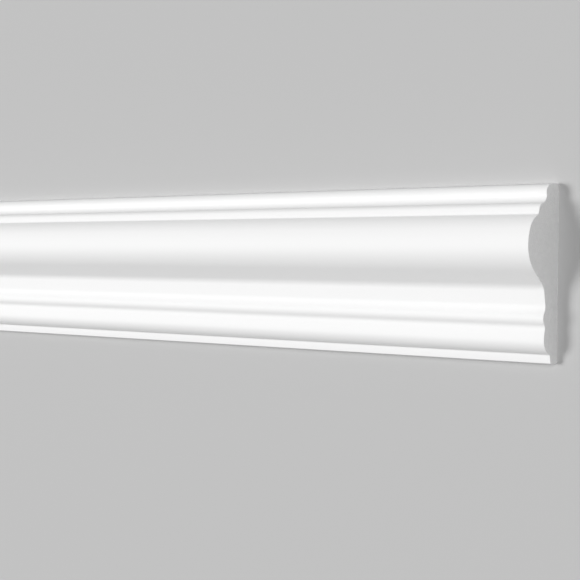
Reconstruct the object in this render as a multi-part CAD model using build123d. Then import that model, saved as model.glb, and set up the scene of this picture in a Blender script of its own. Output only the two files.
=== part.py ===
from build123d import *
from math import radians
from math import tan
import os

# A length of chair rail moulding in hard polymer foam, lying on its flat back.
# +X runs along the length, +Y points to the edge that is uppermost on a wall,
# +Z is how far the face stands off the wall. Z = 0 is the flat back.
# Sizes are in millimetres, angles in degrees.

# Stock
stock_length = 2000.0

# The face is walked from the bottom edge up to the top edge. A lean is the
# angle that a surface makes with the wall: above zero it comes away from the
# wall on the way up, below zero it goes back towards it.

# Bottom edge, base fillet and the small hollow over it
bottom_draft = 2.0
base_projection = 5.2
base_lean = 9.5
base_length = 4.5
base_crease_radius = 1.2

# Torus over the base fillet: a deep undercut, then a long flat curve
torus_start_lean = 63.0
torus_lower_radius = 8.3
torus_upper_radius = 25.5
torus_end_lean = -13.5

# Valley over the torus, bead, and the hollow that leads into the fascia
valley_radius = 4.1
bead_start_lean = 32.5
bead_radius = 6.1
bead_end_lean = -28.5
hollow_radius = 8.2

# Flat fascia
fascia_lean = 8.5
fascia_length = 7.1

# Ogee: hollow foot, straight ramp, broad crown, shoulder and the small hollow
# that ends it
ogee_foot_radius = 7.8
ramp_lean = 43.0
ramp_length = 8.9
crown_lower_radius = 21.3
crown_upper_radius = 30.6
crown_end_lean = -17.5
shoulder_radius = 12.9
shoulder_end_lean = -62.5
shoulder_crease_radius = 1.4

# Upper fillet, with its rounded lip and the cove behind the lip
fillet_lean = -13.0
fillet_length = 3.1
lip_radius = 3.5
lip_end_lean = -75.5
cove_radius = 4.5

# Rounded nose and the top edge
nose_start_lean = 10.5
nose_radius = 4.8
top_draft = 5.0

# Corners that the mould leaves blunt
back_corner_radius = 1.3
bottom_corner_radius = 0.5


def heading(lean):
    """Direction of a surface with this lean."""
    direction = Vector(1, 0).rotate(Axis.Z, lean)
    return (direction.X, direction.Y)


def bend(start, radius, lean_from, lean_to):
    """Arc from a point, turning from one lean to another."""
    return JernArc(start=start, tangent=heading(lean_from), radius=radius, arc_size=lean_to - lean_from)


def straight(start, length, lean):
    """Straight run from a point."""
    return PolarLine(start=start, length=length, angle=lean)


# The section is drawn with its first axis up the wall and its second axis off
# the wall. Each member of the face starts where the last one ended.
bottom = Line((0, 0), (base_projection * tan(radians(bottom_draft)), base_projection))
base = straight(bottom @ 1, base_length, base_lean)
base_crease = bend(base @ 1, base_crease_radius, base_lean, torus_start_lean)
torus_lower = bend(base_crease @ 1, torus_lower_radius, torus_start_lean, 0)
torus_upper = bend(torus_lower @ 1, torus_upper_radius, 0, torus_end_lean)
valley = bend(torus_upper @ 1, valley_radius, torus_end_lean, bead_start_lean)
bead = bend(valley @ 1, bead_radius, bead_start_lean, bead_end_lean)
hollow = bend(bead @ 1, hollow_radius, bead_end_lean, fascia_lean)
fascia = straight(hollow @ 1, fascia_length, fascia_lean)
ogee_foot = bend(fascia @ 1, ogee_foot_radius, fascia_lean, ramp_lean)
ramp = straight(ogee_foot @ 1, ramp_length, ramp_lean)
crown_lower = bend(ramp @ 1, crown_lower_radius, ramp_lean, 0)
crown_upper = bend(crown_lower @ 1, crown_upper_radius, 0, crown_end_lean)
shoulder = bend(crown_upper @ 1, shoulder_radius, crown_end_lean, shoulder_end_lean)
shoulder_crease = bend(shoulder @ 1, shoulder_crease_radius, shoulder_end_lean, fillet_lean)
upper_fillet = straight(shoulder_crease @ 1, fillet_length, fillet_lean)
lip = bend(upper_fillet @ 1, lip_radius, fillet_lean, lip_end_lean)
cove = bend(lip @ 1, cove_radius, lip_end_lean, nose_start_lean)
nose = bend(cove @ 1, nose_radius, nose_start_lean, top_draft - 90)

# The top edge rises to the wall plane, and its far end sets the height.
nose_end = nose @ 1
top_end = Vector(nose_end.X + nose_end.Y * tan(radians(top_draft)), 0)
top = Line(nose_end, top_end)
back = Line(top_end, (0, 0))

base_members = [bottom, base, base_crease, torus_lower, torus_upper]
bead_members = [valley, bead, hollow, fascia]
ogee_members = [ogee_foot, ramp, crown_lower, crown_upper, shoulder, shoulder_crease]
top_members = [upper_fillet, lip, cove, nose, top, back]
section = make_face(base_members + bead_members + ogee_members + top_members)

# Blunt the two back corners and the front bottom corner.
back_corners = section.vertices().group_by(Axis.Y)[0]
section = fillet(back_corners, back_corner_radius)
bottom_corner = section.vertices().sort_by_distance(bottom @ 1)[0]
section = fillet(bottom_corner, bottom_corner_radius)

# Stand the section across the length, centre it on its height and extrude it
# both ways.
middle = section.bounding_box().center().X
placed = Plane.YZ * Pos(-middle, 0) * section
moulding = extrude(placed, amount=stock_length / 2, both=True)
moulding.label = "moulding"

os.makedirs("parts", exist_ok=True)
export_step(moulding, "parts/moulding.step")
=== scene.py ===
from math import cos, pi, radians, sin, tan

import bmesh
import bpy
from bpy.props import FloatProperty, FloatVectorProperty, PointerProperty
from mathutils import Matrix, Vector


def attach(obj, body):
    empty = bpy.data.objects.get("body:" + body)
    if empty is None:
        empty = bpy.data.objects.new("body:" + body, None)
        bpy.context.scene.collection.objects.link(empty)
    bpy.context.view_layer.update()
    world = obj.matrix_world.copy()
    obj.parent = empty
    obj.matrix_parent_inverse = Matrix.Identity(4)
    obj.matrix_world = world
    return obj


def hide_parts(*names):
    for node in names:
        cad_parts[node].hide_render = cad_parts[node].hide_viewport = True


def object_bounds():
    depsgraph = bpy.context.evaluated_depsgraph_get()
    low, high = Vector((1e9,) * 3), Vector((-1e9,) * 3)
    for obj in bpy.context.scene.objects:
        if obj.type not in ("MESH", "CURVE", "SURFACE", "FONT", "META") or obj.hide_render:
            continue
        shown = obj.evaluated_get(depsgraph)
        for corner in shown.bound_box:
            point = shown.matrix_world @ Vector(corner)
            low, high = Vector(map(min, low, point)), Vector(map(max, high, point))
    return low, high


bl_info = {
    "name": "Chair Rail Moulding",
    "version": (1, 0, 0),
    "blender": (4, 5, 0),
    "location": "3D Viewport > Sidebar > Moulding",
    "description": "Dresses a length of polymer chair rail moulding and sets up its studio",
    "category": "Object",
}

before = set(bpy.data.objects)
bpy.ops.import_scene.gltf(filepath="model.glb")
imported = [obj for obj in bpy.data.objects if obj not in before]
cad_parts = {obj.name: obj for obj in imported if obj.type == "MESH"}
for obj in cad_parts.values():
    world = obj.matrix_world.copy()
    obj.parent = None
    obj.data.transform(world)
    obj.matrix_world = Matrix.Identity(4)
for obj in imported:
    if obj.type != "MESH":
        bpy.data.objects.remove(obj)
CAD_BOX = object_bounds()
MM = 0.001

# The moulding lies on its flat back: X runs along the length, Y points to the
# edge that is uppermost on a wall, and Z is how far the face stands off it.
STOCK_LENGTH = CAD_BOX[1].x - CAD_BOX[0].x
STOCK_HEIGHT = CAD_BOX[1].y - CAD_BOX[0].y


def linear(code):
    """Linear colour of an sRGB hex code such as #F2F2F0."""
    levels = [int(code[i:i + 2], 16) / 255 for i in (1, 3, 5)]
    return tuple(v / 12.92 if v <= 0.04045 else ((v + 0.055) / 1.055) ** 2.4 for v in levels)


def size(name, description, mm):
    """A length property, given in millimetres."""
    return FloatProperty(
        name=name, description=description, default=mm * MM, subtype="DISTANCE", unit="LENGTH"
    )


def angle(name, description, degrees):
    """An angle property, given in degrees."""
    return FloatProperty(
        name=name, description=description, default=radians(degrees), subtype="ANGLE", unit="ROTATION"
    )


def share(name, description, level):
    """A plain number from 0 up, where 1 is what lights white paper to white."""
    return FloatProperty(name=name, description=description, default=level, min=0)


def colour(name, description, code):
    """A colour property, given as an sRGB hex code."""
    return FloatVectorProperty(
        name=name, description=description, default=linear(code), size=3, subtype="COLOR"
    )


class SectionSizes(bpy.types.PropertyGroup):
    """Sizes of the section, member by member from the bottom edge to the top edge.

    A lean is the angle that a surface makes with the wall: above zero it comes
    away from the wall on the way up, below zero it goes back towards it.
    """

    bottom_draft: angle("Bottom draft", "Draft of the bottom edge", 2.0)
    base_projection: size("Base projection", "How far the base fillet stands off the wall", 5.2)
    base_lean: angle("Base lean", "Lean of the base fillet", 9.5)
    base_length: size("Base length", "Width of the base fillet's face", 4.5)
    base_crease_radius: size("Base crease radius", "Radius of the hollow over the base fillet", 1.2)
    torus_start_lean: angle("Torus start", "Lean of the undercut over the base fillet", 63.0)
    torus_lower_radius: size("Torus lower radius", "Radius below the torus's crown", 8.3)
    torus_upper_radius: size("Torus upper radius", "Radius above the torus's crown", 25.5)
    torus_end_lean: angle("Torus end", "Lean where the torus turns into the valley", -13.5)
    valley_radius: size("Valley radius", "Radius of the valley under the bead", 4.1)
    bead_start_lean: angle("Bead start", "Lean of the bead's underside", 32.5)
    bead_radius: size("Bead radius", "Radius of the bead", 6.1)
    bead_end_lean: angle("Bead end", "Lean where the bead turns into the hollow", -28.5)
    hollow_radius: size("Hollow radius", "Radius of the hollow below the fascia", 8.2)
    fascia_lean: angle("Fascia lean", "Lean of the flat fascia", 8.5)
    fascia_length: size("Fascia length", "Width of the flat fascia", 7.1)
    ogee_foot_radius: size("Ogee foot radius", "Radius of the hollow at the ogee's foot", 7.8)
    ramp_lean: angle("Ramp lean", "Lean of the ogee's straight ramp", 43.0)
    ramp_length: size("Ramp length", "Length of the ogee's straight ramp", 8.9)
    crown_lower_radius: size("Crown lower radius", "Radius of the ogee below its crown", 21.3)
    crown_upper_radius: size("Crown upper radius", "Radius of the ogee above its crown", 30.6)
    crown_end_lean: angle("Crown end", "Lean where the crown meets the shoulder", -17.5)
    shoulder_radius: size("Shoulder radius", "Radius of the ogee's shoulder", 12.9)
    shoulder_end_lean: angle("Shoulder end", "Lean where the shoulder turns into its crease", -62.5)
    shoulder_crease_radius: size("Shoulder crease", "Radius of the hollow over the shoulder", 1.4)
    fillet_lean: angle("Fillet lean", "Lean of the upper fillet", -13.0)
    fillet_length: size("Fillet length", "Width of the upper fillet's face", 3.1)
    lip_radius: size("Lip radius", "Radius of the upper fillet's lip", 3.5)
    lip_end_lean: angle("Lip end", "Lean where the lip turns into the cove", -75.5)
    cove_radius: size("Cove radius", "Radius of the cove", 4.5)
    nose_start_lean: angle("Nose start", "Lean where the cove turns into the nose", 10.5)
    nose_radius: size("Nose radius", "Radius of the nose", 4.8)
    top_draft: angle("Top draft", "Draft of the top edge", 5.0)
    back_corner_radius: size("Back corner radius", "Radius of the two corners at the wall", 1.3)
    bottom_corner_radius: size("Bottom corner radius", "Radius of the front bottom corner", 0.5)
    arris: size("Sawn arris", "Width of the soft edge around a sawn end", 0.12)


class Finishes(bpy.types.PropertyGroup):
    """Colours, spacings and depths of the primed face, the sawn foam and the bare back."""

    primer: colour("Primer", "White primer on the face and the edges", "#F7F7F7")
    primer_thin: colour("Thin primer", "The same primer where it lies thinner", "#F5F5F5")
    foam: colour("Foam", "Sawn foam at the ends", "#F0F0F0")
    foam_shade: colour("Foam cell shade", "Open cells of the sawn foam", "#E4E4E4")
    skin: colour("Bare skin", "Unprimed skin of the back", "#E6E5E0")

    cloud_pitch: size("Cloud pitch", "Spacing of the thinner primer across the section", 60.0)
    cloud_run: size("Cloud run", "Spacing of the thinner primer along the length", 240.0)
    line_pitch: size("Line pitch", "Spacing of the lines that the die draws", 1.6)
    line_run: size("Line run", "Length over which a drawn line fades into the next", 900.0)
    primed_line_depth: size("Primed line depth", "Depth of the lines under primer", 0.02)
    bare_line_depth: size("Bare line depth", "Depth of the lines on the bare back", 0.04)

    # The real spray grain is about 0.3 mm wide and the real cells about 0.2 mm.
    # Both are too fine to show in the render, so they are drawn coarser, and
    # deeper in step with that.
    spray_pitch: size("Spray pitch", "Spacing of the primer's spray grain", 0.9)
    spray_depth: size("Spray depth", "Depth of the spray grain", 0.05)
    cell_pitch: size("Cell pitch", "Spacing of the foam's cells", 0.7)
    cell_depth: size("Cell depth", "Depth of the cells that the saw opened", 0.11)
    skin_depth: size("Skin depth", "Depth of the cells that print through the skin", 0.02)
    lump_pitch: size("Lump pitch", "Spacing of the denser foam", 2.8)

    saw_pitch: size("Saw pitch", "Spacing of the marks of the saw's teeth", 1.4)
    saw_depth: size("Saw depth", "Depth of the marks of the saw's teeth", 0.07)
    blade_radius: size("Blade radius", "Radius of the blade that squared the ends", 125.0)


class Studio(bpy.types.PropertyGroup):
    """Floor, lamps and ambient light.

    The near lamp shows the sawn end. The far lamp gives the face the broad
    sheen that the camera sees. The under lamp lights the bare back alone.
    """

    paper: colour("Floor paper", "Colour of the floor", "#C4C4C4")
    floor_width: size("Floor width", "Width of the floor", 24000.0)
    near_level: share("Near lamp level", "Share of plain white from over the near end", 0.555)
    near_tilt: angle("Near lamp tilt", "Tilt of that lamp towards the near end", 35.0)
    near_rise: angle("Near lamp rise", "Tilt of that lamp towards the upper edge", 14.0)
    near_spread: angle("Near lamp spread", "Apparent width of that lamp", 30.0)
    far_level: share("Far lamp level", "Share of plain white from over the far end", 0.65)
    far_tilt: angle("Far lamp tilt", "Tilt of that lamp towards the far end", 42.0)
    far_rise: angle("Far lamp rise", "Tilt of that lamp towards the upper edge", 1.0)
    far_spread: angle("Far lamp spread", "Apparent width of that lamp", 24.0)
    under_level: share("Under lamp level", "Share of plain white from straight below", 0.5)
    under_spread: angle("Under lamp spread", "Apparent width of that lamp", 6.0)
    ambient: share("Ambient", "Share of plain white that comes from all round", 0.01)


# Turn of the steps that arcs are drawn in, and the steps of a blunt corner.
ARC_STEP = radians(2.5)
ROUNDING_STEPS = 6

# Room between a rounding and the extra edge beside it, which keeps the smooth
# shading of the rounding off the flat surface next to it.
SUPPORT = 0.05 * MM


class Outline:
    """A section walked member by member.

    The first axis is up the wall, the second is off the wall.
    """

    def __init__(self):
        self.points = [Vector((0, 0))]
        self.corners = {}

    def line_to(self, up, off):
        """Adds a straight run to this point."""
        self.points.append(Vector((up, off)))

    def straight(self, length, lean):
        """Adds a straight run with this lean."""
        self.points.append(self.points[-1] + length * Vector((cos(lean), sin(lean))))

    def bend(self, radius, lean_from, lean_to):
        """Adds an arc that turns from one lean to another."""
        turn = lean_to - lean_from
        side = 1 if turn > 0 else -1
        centre = self.points[-1] + side * radius * Vector((-sin(lean_from), cos(lean_from)))
        steps = max(2, round(abs(turn) / ARC_STEP))
        for step in range(1, steps + 1):
            lean = lean_from + turn * step / steps
            self.points.append(centre - side * radius * Vector((-sin(lean), cos(lean))))

    def mark_corner(self, radius):
        """Says that the outline is blunt where it has come to, with this radius."""
        self.corners[len(self.points) - 1] = radius

    def blunted(self):
        """The points of the closed outline, with each marked corner rounded."""
        result = []
        count = len(self.points)
        for index, point in enumerate(self.points):
            if index in self.corners:
                before = self.points[index - 1]
                after = self.points[(index + 1) % count]
                result += rounded(point, before, after, self.corners[index])
            else:
                result.append(point)
        return result


def rounded(corner, before, after, radius):
    """Points of the arc that blunts a corner between its two neighbours.

    A support point stands on each side of the arc.
    """
    back = (before - corner).normalized()
    ahead = (after - corner).normalized()
    half = back.angle(ahead) / 2
    reach = radius / tan(half)
    centre = corner + (back + ahead).normalized() * (radius / sin(half))
    start = corner + back * reach - centre
    turn = start.angle_signed(corner + ahead * reach - centre)
    turns = [turn * step / ROUNDING_STEPS for step in range(ROUNDING_STEPS + 1)]
    arc = [centre + Matrix.Rotation(-part, 2) @ start for part in turns]
    return [corner + back * (reach + SUPPORT), *arc, corner + ahead * (reach + SUPPORT)]


def section_outline(s):
    """The closed section of the moulding, centred on its height."""
    outline = Outline()
    outline.mark_corner(s.back_corner_radius)
    outline.line_to(s.base_projection * tan(s.bottom_draft), s.base_projection)
    outline.mark_corner(s.bottom_corner_radius)
    outline.straight(s.base_length, s.base_lean)
    outline.bend(s.base_crease_radius, s.base_lean, s.torus_start_lean)
    outline.bend(s.torus_lower_radius, s.torus_start_lean, 0)
    outline.bend(s.torus_upper_radius, 0, s.torus_end_lean)
    outline.bend(s.valley_radius, s.torus_end_lean, s.bead_start_lean)
    outline.bend(s.bead_radius, s.bead_start_lean, s.bead_end_lean)
    outline.bend(s.hollow_radius, s.bead_end_lean, s.fascia_lean)
    outline.straight(s.fascia_length, s.fascia_lean)
    outline.bend(s.ogee_foot_radius, s.fascia_lean, s.ramp_lean)
    outline.straight(s.ramp_length, s.ramp_lean)
    outline.bend(s.crown_lower_radius, s.ramp_lean, 0)
    outline.bend(s.crown_upper_radius, 0, s.crown_end_lean)
    outline.bend(s.shoulder_radius, s.crown_end_lean, s.shoulder_end_lean)
    outline.bend(s.shoulder_crease_radius, s.shoulder_end_lean, s.fillet_lean)
    outline.straight(s.fillet_length, s.fillet_lean)
    outline.bend(s.lip_radius, s.fillet_lean, s.lip_end_lean)
    outline.bend(s.cove_radius, s.lip_end_lean, s.nose_start_lean)
    outline.bend(s.nose_radius, s.nose_start_lean, s.top_draft - pi / 2)
    nose_end = outline.points[-1]
    outline.line_to(nose_end.x + nose_end.y * tan(s.top_draft), 0)
    outline.mark_corner(s.back_corner_radius)
    points = outline.blunted()
    middle = (min(p.x for p in points) + max(p.x for p in points)) / 2
    return [Vector((p.x - middle, p.y)) for p in points]


def inset(points, distance):
    """The closed outline moved into the material by this distance."""
    moved = []
    for index, point in enumerate(points):
        along = points[(index + 1) % len(points)] - points[index - 1]
        inward = Vector((along.y, -along.x)).normalized()
        moved.append(point + inward * distance)
    return moved


# Spacing of the mesh's sections along the length, and the height under which a
# face of the mesh is part of the flat back.
STATION_SPACING = 100 * MM
FLAT_BACK = 0.001 * MM

# Material slots of the mesh.
FACE, SAWN, BACK = range(3)


def moulding_mesh(s, length):
    """Closed mesh of the moulding, with a soft arris around each sawn end."""
    full = section_outline(s)
    ends = inset(full, s.arris)
    count = round(length / STATION_SPACING)
    inner = length - 2 * s.arris
    stations = [-inner / 2 + inner * i / count for i in range(count + 1)]
    stations.insert(1, stations[0] + SUPPORT)
    stations.insert(-1, stations[-1] - SUPPORT)
    sections = [(-length / 2, ends)]
    sections += [(x, full) for x in stations]
    sections += [(length / 2, ends)]

    mesh = bmesh.new()
    loops = [[mesh.verts.new((x, p.x, p.y)) for p in points] for x, points in sections]
    for near, far in zip(loops, loops[1:]):
        for i, corner in enumerate(near):
            j = (i + 1) % len(near)
            face = mesh.faces.new((corner, far[i], far[j], near[j]))
            face.smooth = True
            highest = max(v.co.z for v in face.verts)
            face.material_index = BACK if highest < FLAT_BACK else FACE
    for sawn_loop in (loops[0], loops[-1]):
        face = mesh.faces.new(sawn_loop)
        face.material_index = SAWN
    bmesh.ops.recalc_face_normals(mesh, faces=mesh.faces)
    return mesh


def add(tree, kind, inputs=None, **settings):
    """Adds a node, sets its own settings, and sets or links its inputs."""
    node = tree.nodes.new(kind)
    for name, value in settings.items():
        setattr(node, name, value)
    for name, value in (inputs or {}).items():
        if isinstance(value, bpy.types.NodeSocket):
            tree.links.new(value, node.inputs[name])
        else:
            node.inputs[name].default_value = value
    return node


def new_material(name):
    """An empty node material and its tree."""
    material = bpy.data.materials.new(name)
    material.use_nodes = True
    material.node_tree.nodes.clear()
    return material, material.node_tree


def stretched_noise(tree, pitch, run, detail):
    """Noise with one spacing across the section and another along the length."""
    place = add(tree, "ShaderNodeTexCoord").outputs["Object"]
    scale = (1 / run, 1 / pitch, 1 / pitch)
    mapped = add(tree, "ShaderNodeMapping", {"Vector": place, "Scale": scale}).outputs["Vector"]
    noise = {"Vector": mapped, "Scale": 1.0, "Detail": detail}
    return add(tree, "ShaderNodeTexNoise", noise).outputs["Fac"]


# The mix node's sockets for colours, by number, because it has others for
# numbers and vectors under the same names.
MIX_FACTOR, MIX_FIRST, MIX_SECOND = 0, 6, 7
MIX_RESULT = 2

POLYSTYRENE_IOR = 1.59


def shade(tree, mask, colours, reliefs, roughness, ior):
    """Ends a material: two colours blended by a mask, under reliefs laid over each other."""
    first, second = colours
    blend = {MIX_FACTOR: mask, MIX_FIRST: (*first, 1), MIX_SECOND: (*second, 1)}
    blended = add(tree, "ShaderNodeMix", blend, data_type="RGBA").outputs[MIX_RESULT]
    surface = {}
    for height, depth in reliefs:
        relief = add(tree, "ShaderNodeBump", {"Height": height, "Distance": depth, **surface})
        surface = {"Normal": relief.outputs["Normal"]}
    inputs = {"Base Color": blended, "Roughness": roughness, "IOR": ior, **surface}
    shader = add(tree, "ShaderNodeBsdfPrincipled", inputs)
    add(tree, "ShaderNodeOutputMaterial", {"Surface": shader.outputs["BSDF"]})


def primed_polystyrene(f):
    """Extruded polystyrene foam, sprayed with water-based primer.

    To the eye it is an even, matt, slightly chalky white. The die leaves very
    faint lines along the length, and the spray leaves a fine grain on them.
    """
    material, tree = new_material("primed polystyrene, sprayed")
    clouds = stretched_noise(tree, pitch=f.cloud_pitch, run=f.cloud_run, detail=2.0)
    lines = stretched_noise(tree, pitch=f.line_pitch, run=f.line_run, detail=3.0)
    grain = stretched_noise(tree, pitch=f.spray_pitch, run=f.spray_pitch, detail=2.0)
    reliefs = [(lines, f.primed_line_depth), (grain, f.spray_depth)]
    shade(tree, clouds, (f.primer, f.primer_thin), reliefs, roughness=0.6, ior=1.55)
    return material


# The wave texture turns by this many radians for each unit of its own space.
WAVE_RATE = 20


def sawn_polystyrene(f):
    """Polystyrene foam, cross-cut with a fine circular saw.

    To the eye it is a dead matt white with tiny open cells, and shallow arcs
    where the teeth went through.
    """
    material, tree = new_material("polystyrene foam, sawn")
    place = add(tree, "ShaderNodeTexCoord").outputs["Object"]
    cell_inputs = {"Vector": place, "Scale": 1 / f.cell_pitch}
    cells = add(tree, "ShaderNodeTexVoronoi", cell_inputs).outputs["Distance"]
    lump_inputs = {"Vector": place, "Scale": 1 / f.lump_pitch, "Detail": 4.0}
    lumps = add(tree, "ShaderNodeTexNoise", lump_inputs).outputs["Fac"]

    # The arbor passed a blade's radius over the back, and a third of that
    # below the middle of the section.
    to_arbor = {"Vector": place, "Location": (0, f.blade_radius / 3, -f.blade_radius)}
    arcs = {
        "Vector": add(tree, "ShaderNodeMapping", to_arbor).outputs["Vector"],
        "Scale": 2 * pi / WAVE_RATE / f.saw_pitch,
        "Distortion": 1.5,
        "Detail": 2.0,
    }
    teeth = add(tree, "ShaderNodeTexWave", arcs, wave_type="RINGS", rings_direction="X")
    reliefs = [(teeth.outputs["Fac"], f.saw_depth), (cells, f.cell_depth)]
    shade(tree, lumps, (f.foam, f.foam_shade), reliefs, roughness=0.85, ior=POLYSTYRENE_IOR)
    return material


def bare_polystyrene(f):
    """Polystyrene foam skin, as extruded, never primed.

    To the eye it is an off-white with a low sheen and clearer lines along the
    length than the primed face shows.
    """
    material, tree = new_material("polystyrene foam skin, extruded")
    lines = stretched_noise(tree, pitch=f.line_pitch, run=f.line_run, detail=4.0)
    grain = stretched_noise(tree, pitch=f.cell_pitch, run=f.cell_pitch, detail=2.0)
    reliefs = [(lines, f.bare_line_depth), (grain, f.skin_depth)]
    shade(tree, lines, (f.skin, f.foam_shade), reliefs, roughness=0.5, ior=POLYSTYRENE_IOR)
    return material


def studio_paper(s):
    """Matt paper for the floor.

    Only its upper side is there, so that it hides nothing from below, and it
    casts no shadow, so that the lamp under it reaches the back of the moulding.
    """
    material, tree = new_material("studio paper, matt")
    finish = {"Base Color": (*s.paper, 1), "Roughness": 0.9}
    paper = add(tree, "ShaderNodeBsdfPrincipled", finish).outputs["BSDF"]
    clear = add(tree, "ShaderNodeBsdfTransparent").outputs["BSDF"]
    under = add(tree, "ShaderNodeNewGeometry").outputs["Backfacing"]
    shadow = add(tree, "ShaderNodeLightPath").outputs["Is Shadow Ray"]
    gone = add(tree, "ShaderNodeMath", {0: under, 1: shadow}, operation="MAXIMUM").outputs[0]
    mixed = add(tree, "ShaderNodeMixShader", {0: gone, 1: paper, 2: clear})
    add(tree, "ShaderNodeOutputMaterial", {"Surface": mixed.outputs[0]})
    return material


def new_object(name, data):
    """An object in the scene's collection."""
    thing = bpy.data.objects.new(name, data)
    bpy.context.scene.collection.objects.link(thing)
    return thing


class MOULDING_OT_add_stock(bpy.types.Operator):
    """Add the length of moulding, with its primed face, sawn ends and bare back"""

    bl_idname = "moulding.add_stock"
    bl_label = "Add moulding"

    def execute(self, context):
        section = context.scene.moulding_section
        finishes = context.scene.moulding_finishes
        mesh = moulding_mesh(section, STOCK_LENGTH)
        data = bpy.data.meshes.new("moulding_stock")
        mesh.to_mesh(data)
        mesh.free()

        # In the order of FACE, SAWN and BACK.
        for material in (primed_polystyrene, sawn_polystyrene, bare_polystyrene):
            data.materials.append(material(finishes))
        piece = new_object("moulding_stock", data)
        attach(piece, "root")
        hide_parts("moulding")
        return {"FINISHED"}


# The photograph, in pixels: its width, the focal length, the point where the
# long edges meet, and the two ends of the near end's back edge.
PHOTO_WIDTH = 580
FOCAL_LENGTH = 1860
VANISHING_POINT = (-1379.0, 246.5)
BACK_EDGE_TOP = (558.86, 183.24)
BACK_EDGE_BOTTOM = (556.71, 364.06)

# Width of the camera's sensor, in millimetres.
SENSOR_WIDTH = 36


def sight(pixel):
    """Direction of a pixel of the photograph, seen from the camera."""
    half = PHOTO_WIDTH / 2
    return Vector((pixel[0] - half, half - pixel[1], -FOCAL_LENGTH))


def photo_camera():
    """Camera that sees the moulding as the photograph does.

    The near end and the vanishing point of the length are where they are there.
    """
    along = sight(VANISHING_POINT).normalized()
    top = sight(BACK_EDGE_TOP)
    bottom = sight(BACK_EDGE_BOTTOM)
    top /= top.dot(along)
    bottom /= bottom.dot(along)
    rise = top - bottom
    bottom *= STOCK_HEIGHT / rise.length
    up = rise.normalized()
    turn = Matrix((-along, up, up.cross(along)))
    corner = Vector((STOCK_LENGTH / 2, -STOCK_HEIGHT / 2, 0))

    data = bpy.data.cameras.new("photo_camera")
    data.sensor_width = SENSOR_WIDTH
    data.lens = SENSOR_WIDTH * FOCAL_LENGTH / PHOTO_WIDTH
    camera = new_object("photo_camera", data)
    camera.matrix_world = Matrix.Translation(corner - turn @ bottom) @ turn.to_4x4()
    return camera


def soft_lamp(name, level, spread, towards):
    """A large soft lamp in this direction, the same all along the length."""
    data = bpy.data.lights.new(name, "SUN")

    # A sun of strength pi lights white paper that faces it to plain white.
    data.energy = pi * level
    data.angle = spread
    lamp = new_object(name, data)
    lamp.rotation_euler = towards.to_track_quat("Z", "Y").to_euler()


def pale_world(s):
    """Even ambient light, and a backdrop.

    The backdrop has the floor's colour, wherever the camera sees past the floor.
    """
    world = bpy.data.worlds.new("pale_world")
    world.use_nodes = True
    tree = world.node_tree
    tree.nodes.clear()
    light = add(tree, "ShaderNodeBackground", {"Color": (1, 1, 1, 1), "Strength": s.ambient})
    drop = add(tree, "ShaderNodeBackground", {"Color": (*s.paper, 1), "Strength": 1.0})
    rays = add(tree, "ShaderNodeLightPath").outputs
    seen = rays["Is Camera Ray"]
    for ray in ("Is Glossy Ray", "Is Transmission Ray"):
        pair = {0: seen, 1: rays[ray]}
        seen = add(tree, "ShaderNodeMath", pair, operation="MAXIMUM").outputs[0]
    mixed = add(tree, "ShaderNodeMixShader", {0: seen, 1: light.outputs[0], 2: drop.outputs[0]})
    add(tree, "ShaderNodeOutputWorld", {"Surface": mixed.outputs[0]})
    return world


# Room between the floor and the moulding's back, which keeps the two faces
# from showing through each other.
FLOOR_GAP = 0.05 * MM


def paper_floor(s):
    """A plain floor just under the moulding's back."""
    half = s.floor_width / 2
    corners = [(-half, -half, 0), (half, -half, 0), (half, half, 0), (-half, half, 0)]
    data = bpy.data.meshes.new("floor")
    data.from_pydata(corners, [], [(0, 1, 2, 3)])
    data.materials.append(studio_paper(s))
    floor = new_object("floor", data)
    floor.location.z = CAD_BOX[0].z - FLOOR_GAP
    return floor


class MOULDING_OT_add_stage(bpy.types.Operator):
    """Add the floor, the lamps, the ambient light and the camera"""

    bl_idname = "moulding.add_stage"
    bl_label = "Add studio"

    def execute(self, context):
        studio = context.scene.moulding_studio
        paper_floor(studio)
        near = Vector((tan(studio.near_tilt), tan(studio.near_rise), 1))
        far = Vector((-tan(studio.far_tilt), tan(studio.far_rise), 1))
        under = Vector((0, 0, -1))
        soft_lamp("near_lamp", studio.near_level, studio.near_spread, near)
        soft_lamp("far_lamp", studio.far_level, studio.far_spread, far)
        soft_lamp("under_lamp", studio.under_level, studio.under_spread, under)
        context.scene.world = pale_world(studio)
        context.scene.camera = photo_camera()
        context.scene.view_settings.view_transform = "Standard"
        return {"FINISHED"}


class MOULDING_PT_panel(bpy.types.Panel):
    """Sizes, finishes and steps of the moulding"""

    bl_label = "Moulding"
    bl_idname = "MOULDING_PT_panel"
    bl_space_type = "VIEW_3D"
    bl_region_type = "UI"
    bl_category = "Moulding"

    def draw(self, context):
        layout = self.layout
        scene = context.scene
        for group in (scene.moulding_section, scene.moulding_finishes, scene.moulding_studio):
            box = layout.box()
            for name in group.__annotations__:
                box.prop(group, name)
        layout.operator(MOULDING_OT_add_stock.bl_idname)
        layout.operator(MOULDING_OT_add_stage.bl_idname)


GROUPS = {
    "moulding_section": SectionSizes,
    "moulding_finishes": Finishes,
    "moulding_studio": Studio,
}
CLASSES = (*GROUPS.values(), MOULDING_OT_add_stock, MOULDING_OT_add_stage, MOULDING_PT_panel)


def register():
    for item in CLASSES:
        bpy.utils.register_class(item)
    for name, group in GROUPS.items():
        setattr(bpy.types.Scene, name, PointerProperty(type=group))


def unregister():
    for name in GROUPS:
        delattr(bpy.types.Scene, name)
    for item in reversed(CLASSES):
        bpy.utils.unregister_class(item)


def main():
    register()
    bpy.ops.moulding.add_stock()
    bpy.ops.moulding.add_stage()


if __name__ == "__main__":
    main()
